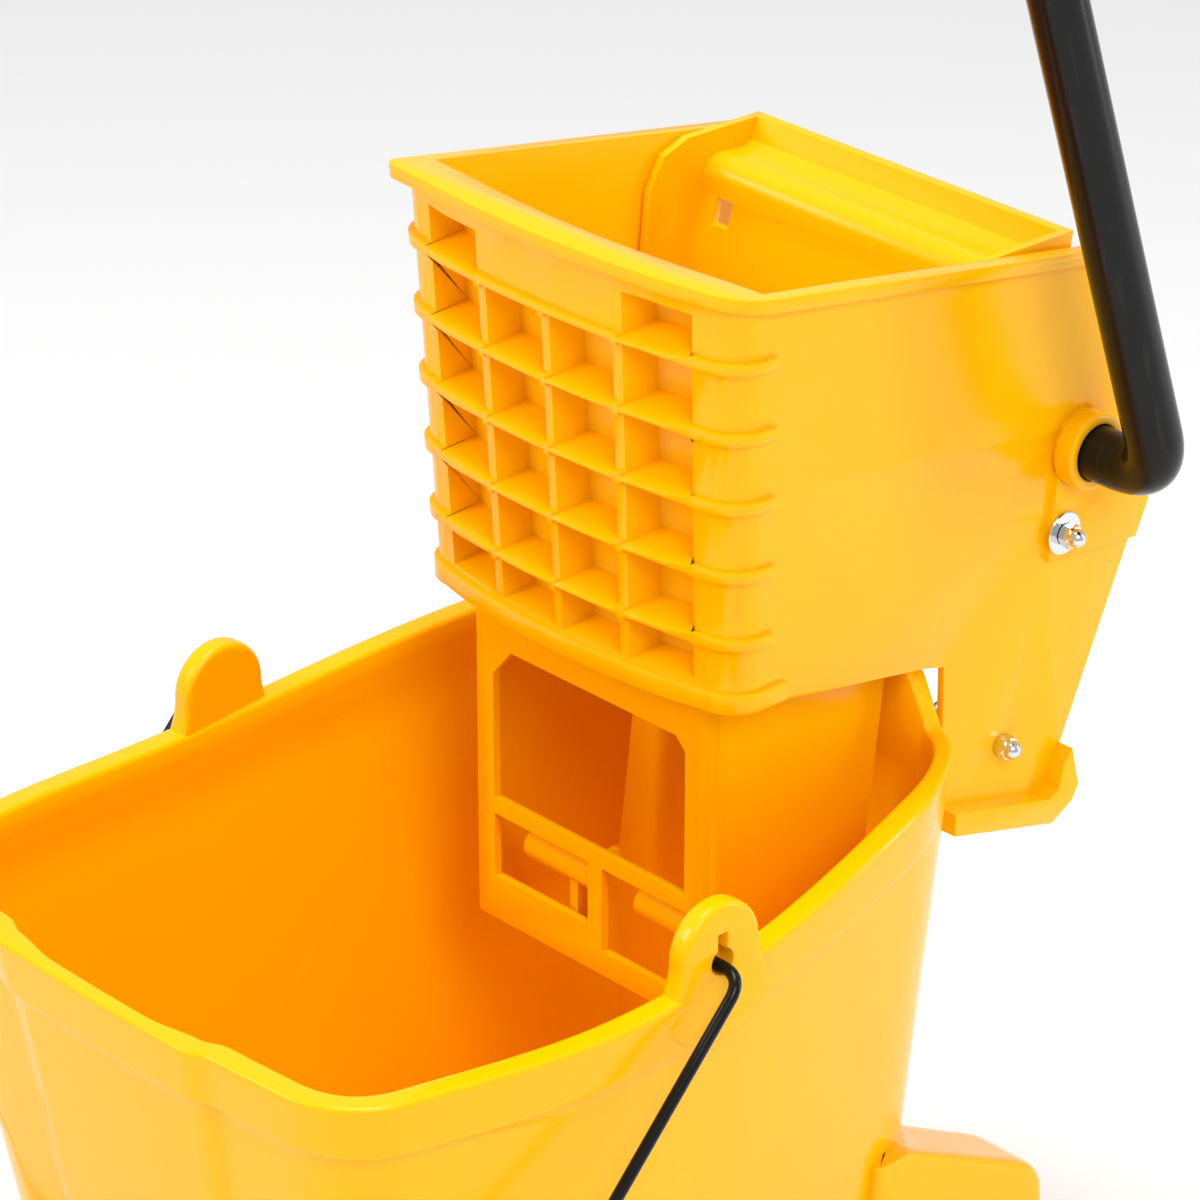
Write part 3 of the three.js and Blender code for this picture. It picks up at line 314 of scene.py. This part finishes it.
def roundedCopy(node, width, segments=2, angle=28.0):
    # a copy of the CAD node with its flat faces joined up and its edges rounded
    source = frame["nodes"][node]
    shell = bmesh.new()
    shell.from_mesh(source.data)
    bmesh.ops.remove_doubles(shell, verts=shell.verts, dist=2e-6)
    bmesh.ops.dissolve_limit(shell, angle_limit=math.radians(1.2), verts=shell.verts, edges=shell.edges,
                             delimit=set())
    mesh = bpy.data.meshes.new(node + "_rounded")
    shell.to_mesh(mesh)
    shell.free()
    mesh.polygons.foreach_set("use_smooth", [True] * len(mesh.polygons))
    mesh.set_sharp_from_angle(angle=math.radians(180))
    mesh.materials.clear()
    mesh.materials.append(finishes[slotOf[node]])
    piece = bpy.data.objects.new(node + "_rounded", mesh)
    bpy.context.scene.collection.objects.link(piece)
    edge = piece.modifiers.new("edge", "BEVEL")
    edge.width = width
    edge.segments = segments
    edge.limit_method = "ANGLE"
    edge.angle_limit = math.radians(angle)
    edge.use_clamp_overlap = True
    edge.harden_normals = True
    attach(piece, bodyOf[node])
    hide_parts(node)
    return piece


tub = {"rimHalf": 0.162, "rimFrontHalf": 0.114, "rimRearHalf": 0.098, "rimBow": 0.005,
       "baseHalf": 0.127, "baseFrontHalf": 0.084, "baseRearHalf": 0.086, "baseBow": 0.003,
       "baseInFront": 0.041, "baseInRear": 0.016, "length": 0.3925, "widest": 0.1495,
       "bandProud": 0.0045, "bandHeight": 0.027, "wall": 0.004, "rimWidth": 0.0125,
       "depth": 0.264, "rimRise": 0.024, "tongueRise": 0.0275, "tongueThick": 0.0093,
       "spoutHalf": 0.046, "spoutCrease": 0.066, "spoutProud": 0.004}
tubLow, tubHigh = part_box("bucket_tub")
baseZ = tubLow.z
rimZ = baseZ + tub["depth"]
rimFront = tubLow.y + tub["bandProud"]
rimRear = rimFront + tub["length"]
widestY = rimFront + tub["widest"]


def smoothStep(t):
    t = np.clip(t, 0, 1)
    return t * t * (3 - 2 * t)


def curvePoints(controls, count):
    # a Bezier curve through two, three or four control points, without its last point
    t = np.linspace(0, 1, count, endpoint=False)[:, None]
    order = len(controls) - 1
    return sum(math.comb(order, k) * t ** k * (1 - t) ** (order - k) * np.array(c, float)
               for k, c in enumerate(controls))


def tubPlan(half, front, rear, frontHalf, rearHalf, bow):
    # right half of the tub's outline from the middle of the front to the middle of the back, then mirrored
    share = half / tub["rimHalf"]
    sideFront = front + 0.0415 * share
    sideRear = rear - 0.055 * share
    curves = [[(0, front), (frontHalf / 2, front), (frontHalf, front + bow)],
              [(frontHalf, front + bow), (half * 0.9, front + 0.009), (half * 0.932, sideFront)],
              [(half * 0.932, sideFront), (half, sideFront + 0.05), (half, widestY)],
              [(half, widestY), (half, widestY + 0.07), (half * 0.95, sideRear - 0.063),
               (half * 0.852, sideRear)],
              [(half * 0.852, sideRear), (half * 0.79, rear - 0.009), (rearHalf, rear - 0.001)],
              [(rearHalf, rear - 0.001), (rearHalf / 2, rear), (0, rear)]]
    counts = [28, 26, 26, 44, 28, 30]
    right = np.concatenate([curvePoints(c, n) for c, n in zip(curves, counts)] + [[(0, rear)]])
    left = right[1:-1][::-1] * (-1, 1)
    return np.concatenate([right, left])


def outwards(ring):
    # unit normals of a closed plan, pointing out of it
    ahead = np.roll(ring, -1, 0) - np.roll(ring, 1, 0)
    ahead /= np.linalg.norm(ahead, axis=1, keepdims=True)
    return np.stack([ahead[:, 1], -ahead[:, 0]], -1)


rimPlan = tubPlan(tub["rimHalf"], rimFront, rimRear, tub["rimFrontHalf"], tub["rimRearHalf"], tub["rimBow"])
basePlan = tubPlan(tub["baseHalf"], rimFront + tub["baseInFront"], rimRear - tub["baseInRear"],
                   tub["baseFrontHalf"], tub["baseRearHalf"], tub["baseBow"])
backShare = smoothStep((rimPlan[:, 1] - widestY - 0.005) / 0.245)
frontShare = smoothStep((widestY - 0.005 - rimPlan[:, 1]) / 0.11)
rimTop = rimZ + backShare * tub["rimRise"] + frontShare * 0.005
tongueShare = np.where(rimPlan[:, 1] > rimRear - 0.02,
                       smoothStep((tub["rimRearHalf"] + 0.006 - abs(rimPlan[:, 0])) / 0.024), 0)
bandShare = 1 - smoothStep((rimPlan[:, 1] - rimRear + 0.063) / 0.045)
inFront = rimPlan[:, 1] < widestY
ledgeShare = np.where(inFront, smoothStep((abs(rimPlan[:, 0]) - tub["spoutHalf"] + 0.014) / 0.028), 1)
spoutShare = np.where(inFront, smoothStep((tub["spoutCrease"] + 0.006 - abs(rimPlan[:, 0])) / 0.012), 0)


def wallRow(z, out):
    # the tapered wall at a height for each point of the plan, moved outwards
    t = ((rimTop - z) / (rimTop - baseZ))[:, None]
    flat = rimPlan + (basePlan - rimPlan) * t
    flat = flat + outwards(flat) * np.broadcast_to(out, rimTop.shape)[:, None]
    flat[:, 1] -= tub["spoutProud"] * spoutShare * smoothStep((z - baseZ - 0.02) / 0.12)
    return np.column_stack([flat, np.broadcast_to(z, rimTop.shape)])


def shrunk(ring, inset):
    # a level ring drawn in towards its middle by about the inset, so that it can't cross itself
    low, high = ring.min(0), ring.max(0)
    middle, half = (low + high) / 2, (high - low) / 2
    return middle + (ring - middle) * (1 - inset / half[0], 1 - inset / half[1], 1)


def sinCos(start, end, count):
    # sine and cosine of evenly spaced angles in degrees
    return [(math.sin(math.radians(a)), math.cos(math.radians(a))) for a in np.linspace(start, end, count)]


def makeTubShell():
    # one ring per point of the wall's profile: from the middle of the floor inside, over the rim,
    # and down to the middle of the floor outside
    wall, band = tub["wall"], tub["bandProud"] * bandShare
    top = rimTop + tub["tongueRise"] * tongueShare
    lip = wall + (tub["rimWidth"] - tub["bandProud"] - wall) * ledgeShare
    lip = lip + (tub["tongueThick"] - lip) * tongueShare
    rows = []
    corner = 0.012
    for share in (0.02, 0.35, 0.7, 0.9):
        ring = shrunk(wallRow(baseZ + wall + 0 * rimTop, -wall), corner)
        middle = (ring.min(0) + ring.max(0)) / 2
        rows.append(middle + (ring - middle) * share)
    for s, c in sinCos(0, 90, 7):
        ring = wallRow(baseZ + wall + corner * (1 - c) + 0 * rimTop, -wall)
        rows.append(shrunk(ring, corner * (1 - s)))
    for share in np.linspace(0.08, 1, 14):
        rows.append(wallRow(baseZ + wall + corner + (rimTop - 0.026 - baseZ - wall - corner) * share, -wall))
    rows.append(wallRow(rimTop - 0.024, -wall - 0.0008))
    rows.append(wallRow(rimTop - 0.018, -wall - (lip - wall) * 0.35))
    rows.append(wallRow(rimTop - 0.012, -wall - (lip - wall) * 0.8))
    round1 = (lip + band) * 0.22
    for share in (0.3, 0.6, 1.0):
        base = rimTop - 0.010
        rows.append(wallRow(base + (top - round1 - base) * share, -lip))
    for s, c in sinCos(15, 90, 6):
        rows.append(wallRow(top - round1 * (1 - s), -lip + round1 * (1 - c)))
    for s, c in sinCos(90, 0, 7):
        rows.append(wallRow(top - round1 * (1 - s), band - round1 * (1 - c)))
    low = rimTop - tub["bandHeight"]
    for share in (0.25, 0.5, 0.75, 0.93):
        start = top - round1
        rows.append(wallRow(start + (low + 0.0015 - start) * share, band))
    for s, c in sinCos(0, 90, 4):
        rows.append(wallRow(low + 0.0012 * (1 - s), np.maximum(band - 0.0012 * (1 - c) * bandShare, 0)))
    rows.append(wallRow(low + 0.0002, 0.0006 * bandShare))
    rows.append(wallRow(low - 0.0008, 0))
    for share in np.linspace(0.04, 1, 14):
        rows.append(wallRow(low + (baseZ + 0.010 - low) * share, 0))
    for s, c in sinCos(15, 90, 6):
        rows.append(shrunk(wallRow(baseZ + 0.010 * (1 - s) + 0 * rimTop, 0), 0.010 * (1 - c)))
    for share in (0.9, 0.6, 0.3, 0.02):
        ring = shrunk(wallRow(baseZ + 0 * rimTop, 0), 0.010)
        middle = (ring.min(0) + ring.max(0)) / 2
        rows.append(middle + (ring - middle) * share)
    return closedGrid("tub_shell", np.array(rows), "bucket_tub", 40)


makeTubShell()

ear = {"width": 0.044, "high": 0.037, "thick": 0.011, "x": 0.160, "fromFront": 0.1945, "hole": 0.006,
       "holeUp": 0.01025, "slotHalf": 0.0027, "slotHigh": 0.013, "holeDeep": 0.008, "edge": 0.003,
       "flare": 0.009, "footDown": 0.0225}


def makeEar(name, side):
    # a thick plate with a blind keyhole: rings round the hole's axis, their radius a function of the turn
    y0 = rimFront + ear["fromFront"]
    z0 = rimZ + ear["holeUp"]
    turn = np.linspace(0, 2 * np.pi, 240, endpoint=False)
    half, topZ = ear["width"] / 2, rimZ + ear["high"]
    outline = [np.array([half + ear["flare"], -ear["footDown"]])]
    outline.append(curvePoints([(half + ear["flare"], rimZ - 0.012 - z0), (half, rimZ + 0.004 - z0),
                                (half, topZ - half - z0)], 24))
    outline.append(arcPoints((0, topZ - half - z0), half, 0, 180, 60))
    outline.append(curvePoints([(-half, topZ - half - z0), (-half, rimZ + 0.004 - z0),
                                (-half - ear["flare"], rimZ - 0.012 - z0)], 24))
    outline.append([(-half - ear["flare"], -ear["footDown"])])
    outline = np.vstack(outline)
    outlineTurn = np.arctan2(outline[:, 1], outline[:, 0])
    order = np.argsort(outlineTurn)
    outlineTurn, outlineFar = outlineTurn[order], np.hypot(*outline[order].T)
    wrapped = (turn + np.pi) % (2 * np.pi) - np.pi
    outer = np.interp(wrapped, outlineTurn, outlineFar, period=2 * np.pi)
    c, s = np.cos(turn), np.sin(turn)
    slotSide = ear["slotHalf"] / np.maximum(abs(c), 1e-6)
    slot = np.minimum(slotSide, np.where(s > 0, ear["slotHigh"] / np.maximum(s, 1e-6), 0))
    hole = np.maximum(ear["hole"], slot)
    edge = ear["edge"]
    innerX, outerX = ear["x"] - ear["thick"] / 2, ear["x"] + ear["thick"] / 2
    curve = [(1 - math.cos(a), 1 - math.sin(a)) for a in np.linspace(0, math.pi / 2, 6)]
    rings = [(outer * t, innerX) for t in (0.01, 0.3, 0.6, 0.8)]
    rings += [(outer - edge * k, innerX + edge * m) for m, k in curve]
    rings += [(outer - edge * k, outerX - edge * m) for m, k in curve[::-1]]
    rings += [(outer * (1 - t) + hole * t, outerX) for t in (0.4, 0.75)]
    rings += [(hole + 0.0010, outerX), (hole + 0.0003, outerX - 0.0003), (hole, outerX - 0.001)]
    rings += [(hole, outerX - ear["holeDeep"]), (hole * 0.5, outerX - ear["holeDeep"]),
              (hole * 0.01, outerX - ear["holeDeep"])]
    grid = np.array([np.column_stack([np.full(len(turn), side * x), y0 + r * c, z0 + r * s])
                     for r, x in rings])
    return closedGrid(name, grid, "bucket_tub", 40, False)


for hand, side in (("left", -1), ("right", 1)):
    makeEar("tub_ear_" + hand, side)

housing = {"width": 0.042, "x": 0.102, "high": 0.092, "deep": 0.115, "square": 0.24,
           "slope": [(0, 0.0), (0.030, 0.0), (0.036, 0.0008), (0.041, 0.0028), (0.046, 0.0065),
                     (0.050, 0.0118), (0.054, 0.0195), (0.073, 0.056), (0.092, 0.093)]}


def makeHousing(name, side, nose, way):
    # rounded rectangles stacked and leaning back: x = w |cos|^q, y = d |sin|^q;
    # their inner side stops inside the thickness of the tub's wall
    turn = np.linspace(0, 2 * np.pi, 160, endpoint=False)
    x = np.sign(np.cos(turn)) * abs(np.cos(turn)) ** housing["square"] * housing["width"] / 2
    x = side * (housing["x"] - 0.001) + x
    y = np.sign(np.sin(turn)) * abs(np.sin(turn)) ** housing["square"]
    rows = []
    for up in np.linspace(0, housing["high"], 44):
        inset = np.interp(up, *np.array(housing["slope"]).T)
        half = (housing["deep"] - inset) / 2
        wall = wallRow(baseZ + up + 0 * rimTop, -tub["wall"] / 2)
        wall = wall[(wall[:, 0] > 0) & (way * (wall[:, 1] - widestY) > 0)]
        wall = wall[np.argsort(wall[:, 0])]
        stop = way * np.interp(abs(x), wall[:, 0], wall[:, 1], right=-way * 9)
        deepest = np.maximum(way * (nose - way * inset - way * half) + y * half, stop)
        rows.append(np.column_stack([x, way * deepest, np.full(len(turn), baseZ + up)]))
    return closedGrid(name, np.array(rows), "bucket_tub", 40, False)


for end, nose, way in (("rear", tubHigh.y, 1), ("front", tubLow.y + 0.001, -1)):
    for hand, side in (("left", -1), ("right", 1)):
        makeHousing(f"{end}_{hand}_housing", side, nose, way)
print("tub made")

bail = {"wire": 0.00275, "bend": 0.011}
bailLow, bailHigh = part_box("bail_wire")
gripLow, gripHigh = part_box("bail_grip")
pivot = next(j for j in frame["joints"] if j["name"] == "bail_hinge")["pos_m"]
barPlace = ((gripLow.y + gripHigh.y) / 2, (gripLow.z + gripHigh.z) / 2)
bailX = bailHigh.x - bail["wire"]
innerX = ear["x"] + ear["thick"] / 2 - ear["holeDeep"] + 0.001
bailPath = bentPath([(-innerX, pivot[1], pivot[2]), (-bailX, pivot[1], pivot[2]), (-bailX, *barPlace),
                     (bailX, *barPlace), (bailX, pivot[1], pivot[2]), (innerX, pivot[1], pivot[2])],
                    bail["bend"])
sweptTube("bail_wire_bent", bailPath, bail["wire"], "bail_wire", 24)


def ribbedProfile(length, radius, bore, ribs, depth, shoulder):
    # the outside of a roller grip with shallow grooves, then its bore, as one closed profile
    along = np.linspace(0, length, 40 + ribs * 10)
    fromEnd = np.minimum(along, length - along)
    inward = 1 - np.clip(fromEnd / shoulder, 0, 1)
    rounded = radius - shoulder * (1 - np.sqrt(np.clip(1 - inward ** 2, 0, 1)))
    phase = 2 * np.pi * ribs * (along / length - 0.1) / 0.8
    wave = np.where(fromEnd > 0.1 * length, 0.5 - 0.5 * np.cos(phase), 0)
    outer = np.column_stack([rounded - depth * wave, along])
    inner = np.column_stack([np.full(6, bore), np.linspace(length, 0, 6)])
    return np.concatenate([outer, inner])


gripLength = gripHigh.x - gripLow.x
profile = ribbedProfile(gripLength, (gripHigh.z - gripLow.z) / 2, bail["wire"] + 0.0003, 9, 0.0009, 0.003)
spunPiece("bail_grip_roller", profile, (gripLow.x, *barPlace), (1, 0, 0), "bail_grip", 56, closed=True)
print("bail made")

lever = {"radius": 0.0127, "bend": 0.026, "x": 0.150, "lean": 18.5, "length": 0.462,
         "grip": 0.125, "gripRadius": 0.016}
leverHinge = next(j for j in frame["joints"] if j["name"] == "lever_hinge")["pos_m"]
shaftY, shaftZ = leverHinge[1], leverHinge[2]
tubeLow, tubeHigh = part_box("lever_tube")
lean = math.radians(lever["lean"])
upLever = np.array([0, -math.sin(lean), math.cos(lean)])
leverCorner = np.array([lever["x"], shaftY, shaftZ])
leverPath = bentPath([(tubeLow.x, shaftY, shaftZ), leverCorner, leverCorner + upLever * lever["length"]],
                     lever["bend"], 40, 30)
sweptTube("lever_tube_bent", leverPath, lever["radius"], "lever_tube", 64)


def leverGripProfile():
    # a moulded hand grip: flanged mouth, finger waves, rounded closed end
    length = lever["grip"] + 0.003
    along = np.linspace(0, length - 0.006, 90)
    radius = lever["gripRadius"] - 0.0012 + 0 * along
    radius += 0.0012 * np.exp(-((along - 0.0025) / 0.0022) ** 2)
    waves = 0.5 + 0.5 * np.cos(2 * np.pi * (along - 0.012) / 0.0062)
    radius -= np.where((along > 0.012) & (along < length - 0.018), 0.0009 * (1 - waves), 0)
    outer = np.column_stack([radius, along])
    dome = arcPoints((radius[-1] - 0.006, length - 0.006), 0.006, 0, 90, 8)[1:]
    return np.concatenate([[(lever["radius"] + 0.0002, 0.0005)], outer, dome, [(0.0005, length)]])


gripStart = leverCorner + upLever * (lever["length"] - lever["grip"])
spunPiece("lever_grip_moulded", leverGripProfile(), gripStart, upLever, "lever_grip", 64, 50)
print("lever made")


def hexRadius(across, turn):
    # distance from the middle of a hexagon to its edge, by the turn
    wrapped = (turn % (np.pi / 3)) - np.pi / 6
    return across / 2 / np.cos(wrapped)


acornNut = {"hexShare": 0.5, "chamfer": 0.08, "domeRadius": 0.46}


def makeAcornNut(name, node, side):
    # a chamfered hexagon with a dome; every ring's radius is the smaller of the hexagon and the chamfer
    low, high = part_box(node)
    y, z = (low.y + high.y) / 2, (low.z + high.z) / 2
    inner = low.x if side > 0 else high.x
    length = high.x - low.x
    across = min(high.z - low.z, high.y - low.y)
    turn = np.linspace(0, 2 * np.pi, 96, endpoint=False)
    hexHigh = length * acornNut["hexShare"]
    chamfer = across * acornNut["chamfer"]
    rings = []
    for along, limit in ((0, 0.52), (chamfer * 0.5, 0.56), (chamfer, 0.6), (hexHigh - chamfer, 0.6),
                         (hexHigh - chamfer * 0.5, 0.56), (hexHigh, 0.51)):
        rings.append((along, np.minimum(hexRadius(across, turn), across * limit)))
    dome = across * acornNut["domeRadius"]
    for a in np.linspace(0, 88, 12):
        lift = (length - hexHigh) * math.sin(math.radians(a))
        rings.append((hexHigh + lift, np.full(len(turn), dome * math.cos(math.radians(a)))))
    grid = np.array([np.column_stack([np.full(len(turn), inner + side * along), y + r * np.cos(turn),
                                      z + r * np.sin(turn)]) for along, r in rings])
    return closedGrid(name, grid, node, 28)


bush = {"proud": 0.0087, "deep": 0.017, "neck": 0.003, "round": 0.0022}
spring = {"wire": 0.0008, "turns": 4.0}
for hand, side in (("left", -1), ("right", 1)):
    for which in ("hinge_nut", "spring_nut"):
        makeAcornNut(f"{which}_{hand}_domed", f"{which}_{hand}", side)
    low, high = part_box("spring_washer_" + hand)
    middle = (low + high) / 2
    radius, thick = (high.y - low.y) / 2, high.x - low.x
    washer = [(0.0032, 0), (radius - 0.0003, 0), (radius, 0.0003), (radius, thick - 0.0004),
              (radius - 0.0004, thick), (0.0036, thick), (0.0032, thick - 0.0003)]
    spunPiece(f"spring_washer_{hand}_turned", washer, (low.x if side > 0 else high.x, middle.y, middle.z),
              (side, 0, 0), "spring_washer_" + hand, 64, 30, closed=True)
    low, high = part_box("shaft_bush_" + hand)
    outX = high.x if side > 0 else -low.x
    radius = (high.y - low.y) / 2
    bore = lever["radius"] + 0.00035
    neck, flangeBack, curve = bore + bush["neck"], -bush["proud"] - 0.001, bush["round"]
    profile = [(bore, -bush["deep"]), (neck, -bush["deep"]), (neck, flangeBack), (radius, flangeBack),
               (radius, -curve)]
    profile += list(arcPoints((radius - curve, -curve), curve, 0, 90, 6)[1:])
    profile += [(bore + 0.0012, 0), (bore + 0.0004, -0.0004), (bore, -0.0012)]
    spunPiece(f"shaft_bush_{hand}_turned", profile, (side * outX, shaftY, shaftZ), (side, 0, 0),
              "shaft_bush_" + hand, 72, 30, closed=True)
    low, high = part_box("return_spring_" + hand)
    coilRadius = (high.y - low.y) / 2 - 0.0009
    t = np.linspace(0, 1, 220)
    around = 2 * np.pi * spring["turns"] * t
    x = low.x + 0.001 + (high.x - low.x - 0.002) * t
    coil = np.column_stack([x, (low.y + high.y) / 2 + coilRadius * np.cos(around),
                            (low.z + high.z) / 2 + coilRadius * np.sin(around)])
    sweptTube(f"return_spring_{hand}_coil", coil, spring["wire"], "return_spring_" + hand, 14)
print("hardware made")

edges = {"fork": 0.0006, "wringer": 0.0006, "plate": 0.0007, "cam": 0.0006}
# the wheel's hub as (radius, depth from its side), then the radius of the tread's corner
wheel = {"hub": [(0.0034, 0), (0.0078, 0), (0.008, 0.0004), (0.0082, 0.0055), (0.0095, 0.007),
                 (0.0165, 0.0072), (0.0182, 0.0062), (0.0188, 0.0006), (0.0196, 0)], "corner": 0.0035}
for end in ("rear", "front"):
    for hand in ("left", "right"):
        node = f"{end}_{hand}_caster_wheel"
        low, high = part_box(node)
        middle = (low + high) / 2
        radius, width = (high.z - low.z) / 2, high.x - low.x
        corner = arcPoints((radius - wheel["corner"], wheel["corner"]), wheel["corner"], -80, 0, 7)
        half = np.concatenate([wheel["hub"], corner])
        other = half[::-1] * (1, -1) + (0, width)
        spunPiece(node + "_moulded", np.concatenate([half, other]), (low.x, middle.y, middle.z), (1, 0, 0),
                  node, 72, 30, closed=True)
        roundedCopy(f"{end}_{hand}_caster_fork", edges["fork"])
print("wheels made")

roundedCopy("wringer_body", edges["wringer"])
roundedCopy("press_plate", edges["plate"], 3)
for hand in ("left", "right"):
    roundedCopy("press_cam_" + hand, edges["cam"])
print("wringer made")

floorMesh = bpy.data.meshes.new("studioFloor")
floorMesh.from_pydata([(-6, -6, 0), (6, -6, 0), (6, 6, 0), (-6, 6, 0)], [], [(0, 1, 2, 3)])
floorPaint = bpy.data.materials.new("paleFloor")
floorPaint.use_nodes = True
floorPaint.node_tree.nodes["Principled BSDF"].inputs["Base Color"].default_value = (0.86, 0.86, 0.86, 1)
floorPaint.node_tree.nodes["Principled BSDF"].inputs["Roughness"].default_value = 0.6
floorMesh.materials.append(floorPaint)
floor = bpy.data.objects.new("studioFloor", floorMesh)
bpy.context.scene.collection.objects.link(floor)

lights = {"key": {"place": (2.4, -1.0, 2.6), "wide": 1.3, "high": 1.3, "power": 45},
          "front": {"place": (-1.3, -2.3, 1.9), "wide": 1.2, "high": 1.2, "power": 30},
          "strip": {"place": (1.5, 2.1, 0.9), "wide": 0.28, "high": 1.9, "power": 16},
          "top": {"place": (-0.1, -0.1, 2.7), "wide": 1.0, "high": 1.0, "power": 34}}
for name, light in lights.items():
    lampData = bpy.data.lights.new(name, "AREA")
    lampData.energy = light["power"]
    lampData.shape = "RECTANGLE"
    lampData.size = light["wide"]
    lampData.size_y = light["high"]
    lamp = bpy.data.objects.new(name, lampData)
    bpy.context.scene.collection.objects.link(lamp)
    lamp.location = light["place"]
    lamp.rotation_euler = (Vector((0, 0, 0.4)) - lamp.location).to_track_quat("-Z", "Y").to_euler()
world = bpy.data.worlds.new("studio")
world.use_nodes = True
world.node_tree.nodes["Background"].inputs["Color"].default_value = (1, 1, 1, 1)
world.node_tree.nodes["Background"].inputs["Strength"].default_value = 0.6
bpy.context.scene.world = world
bpy.context.scene.view_settings.view_transform = "Standard"
print("stage set")
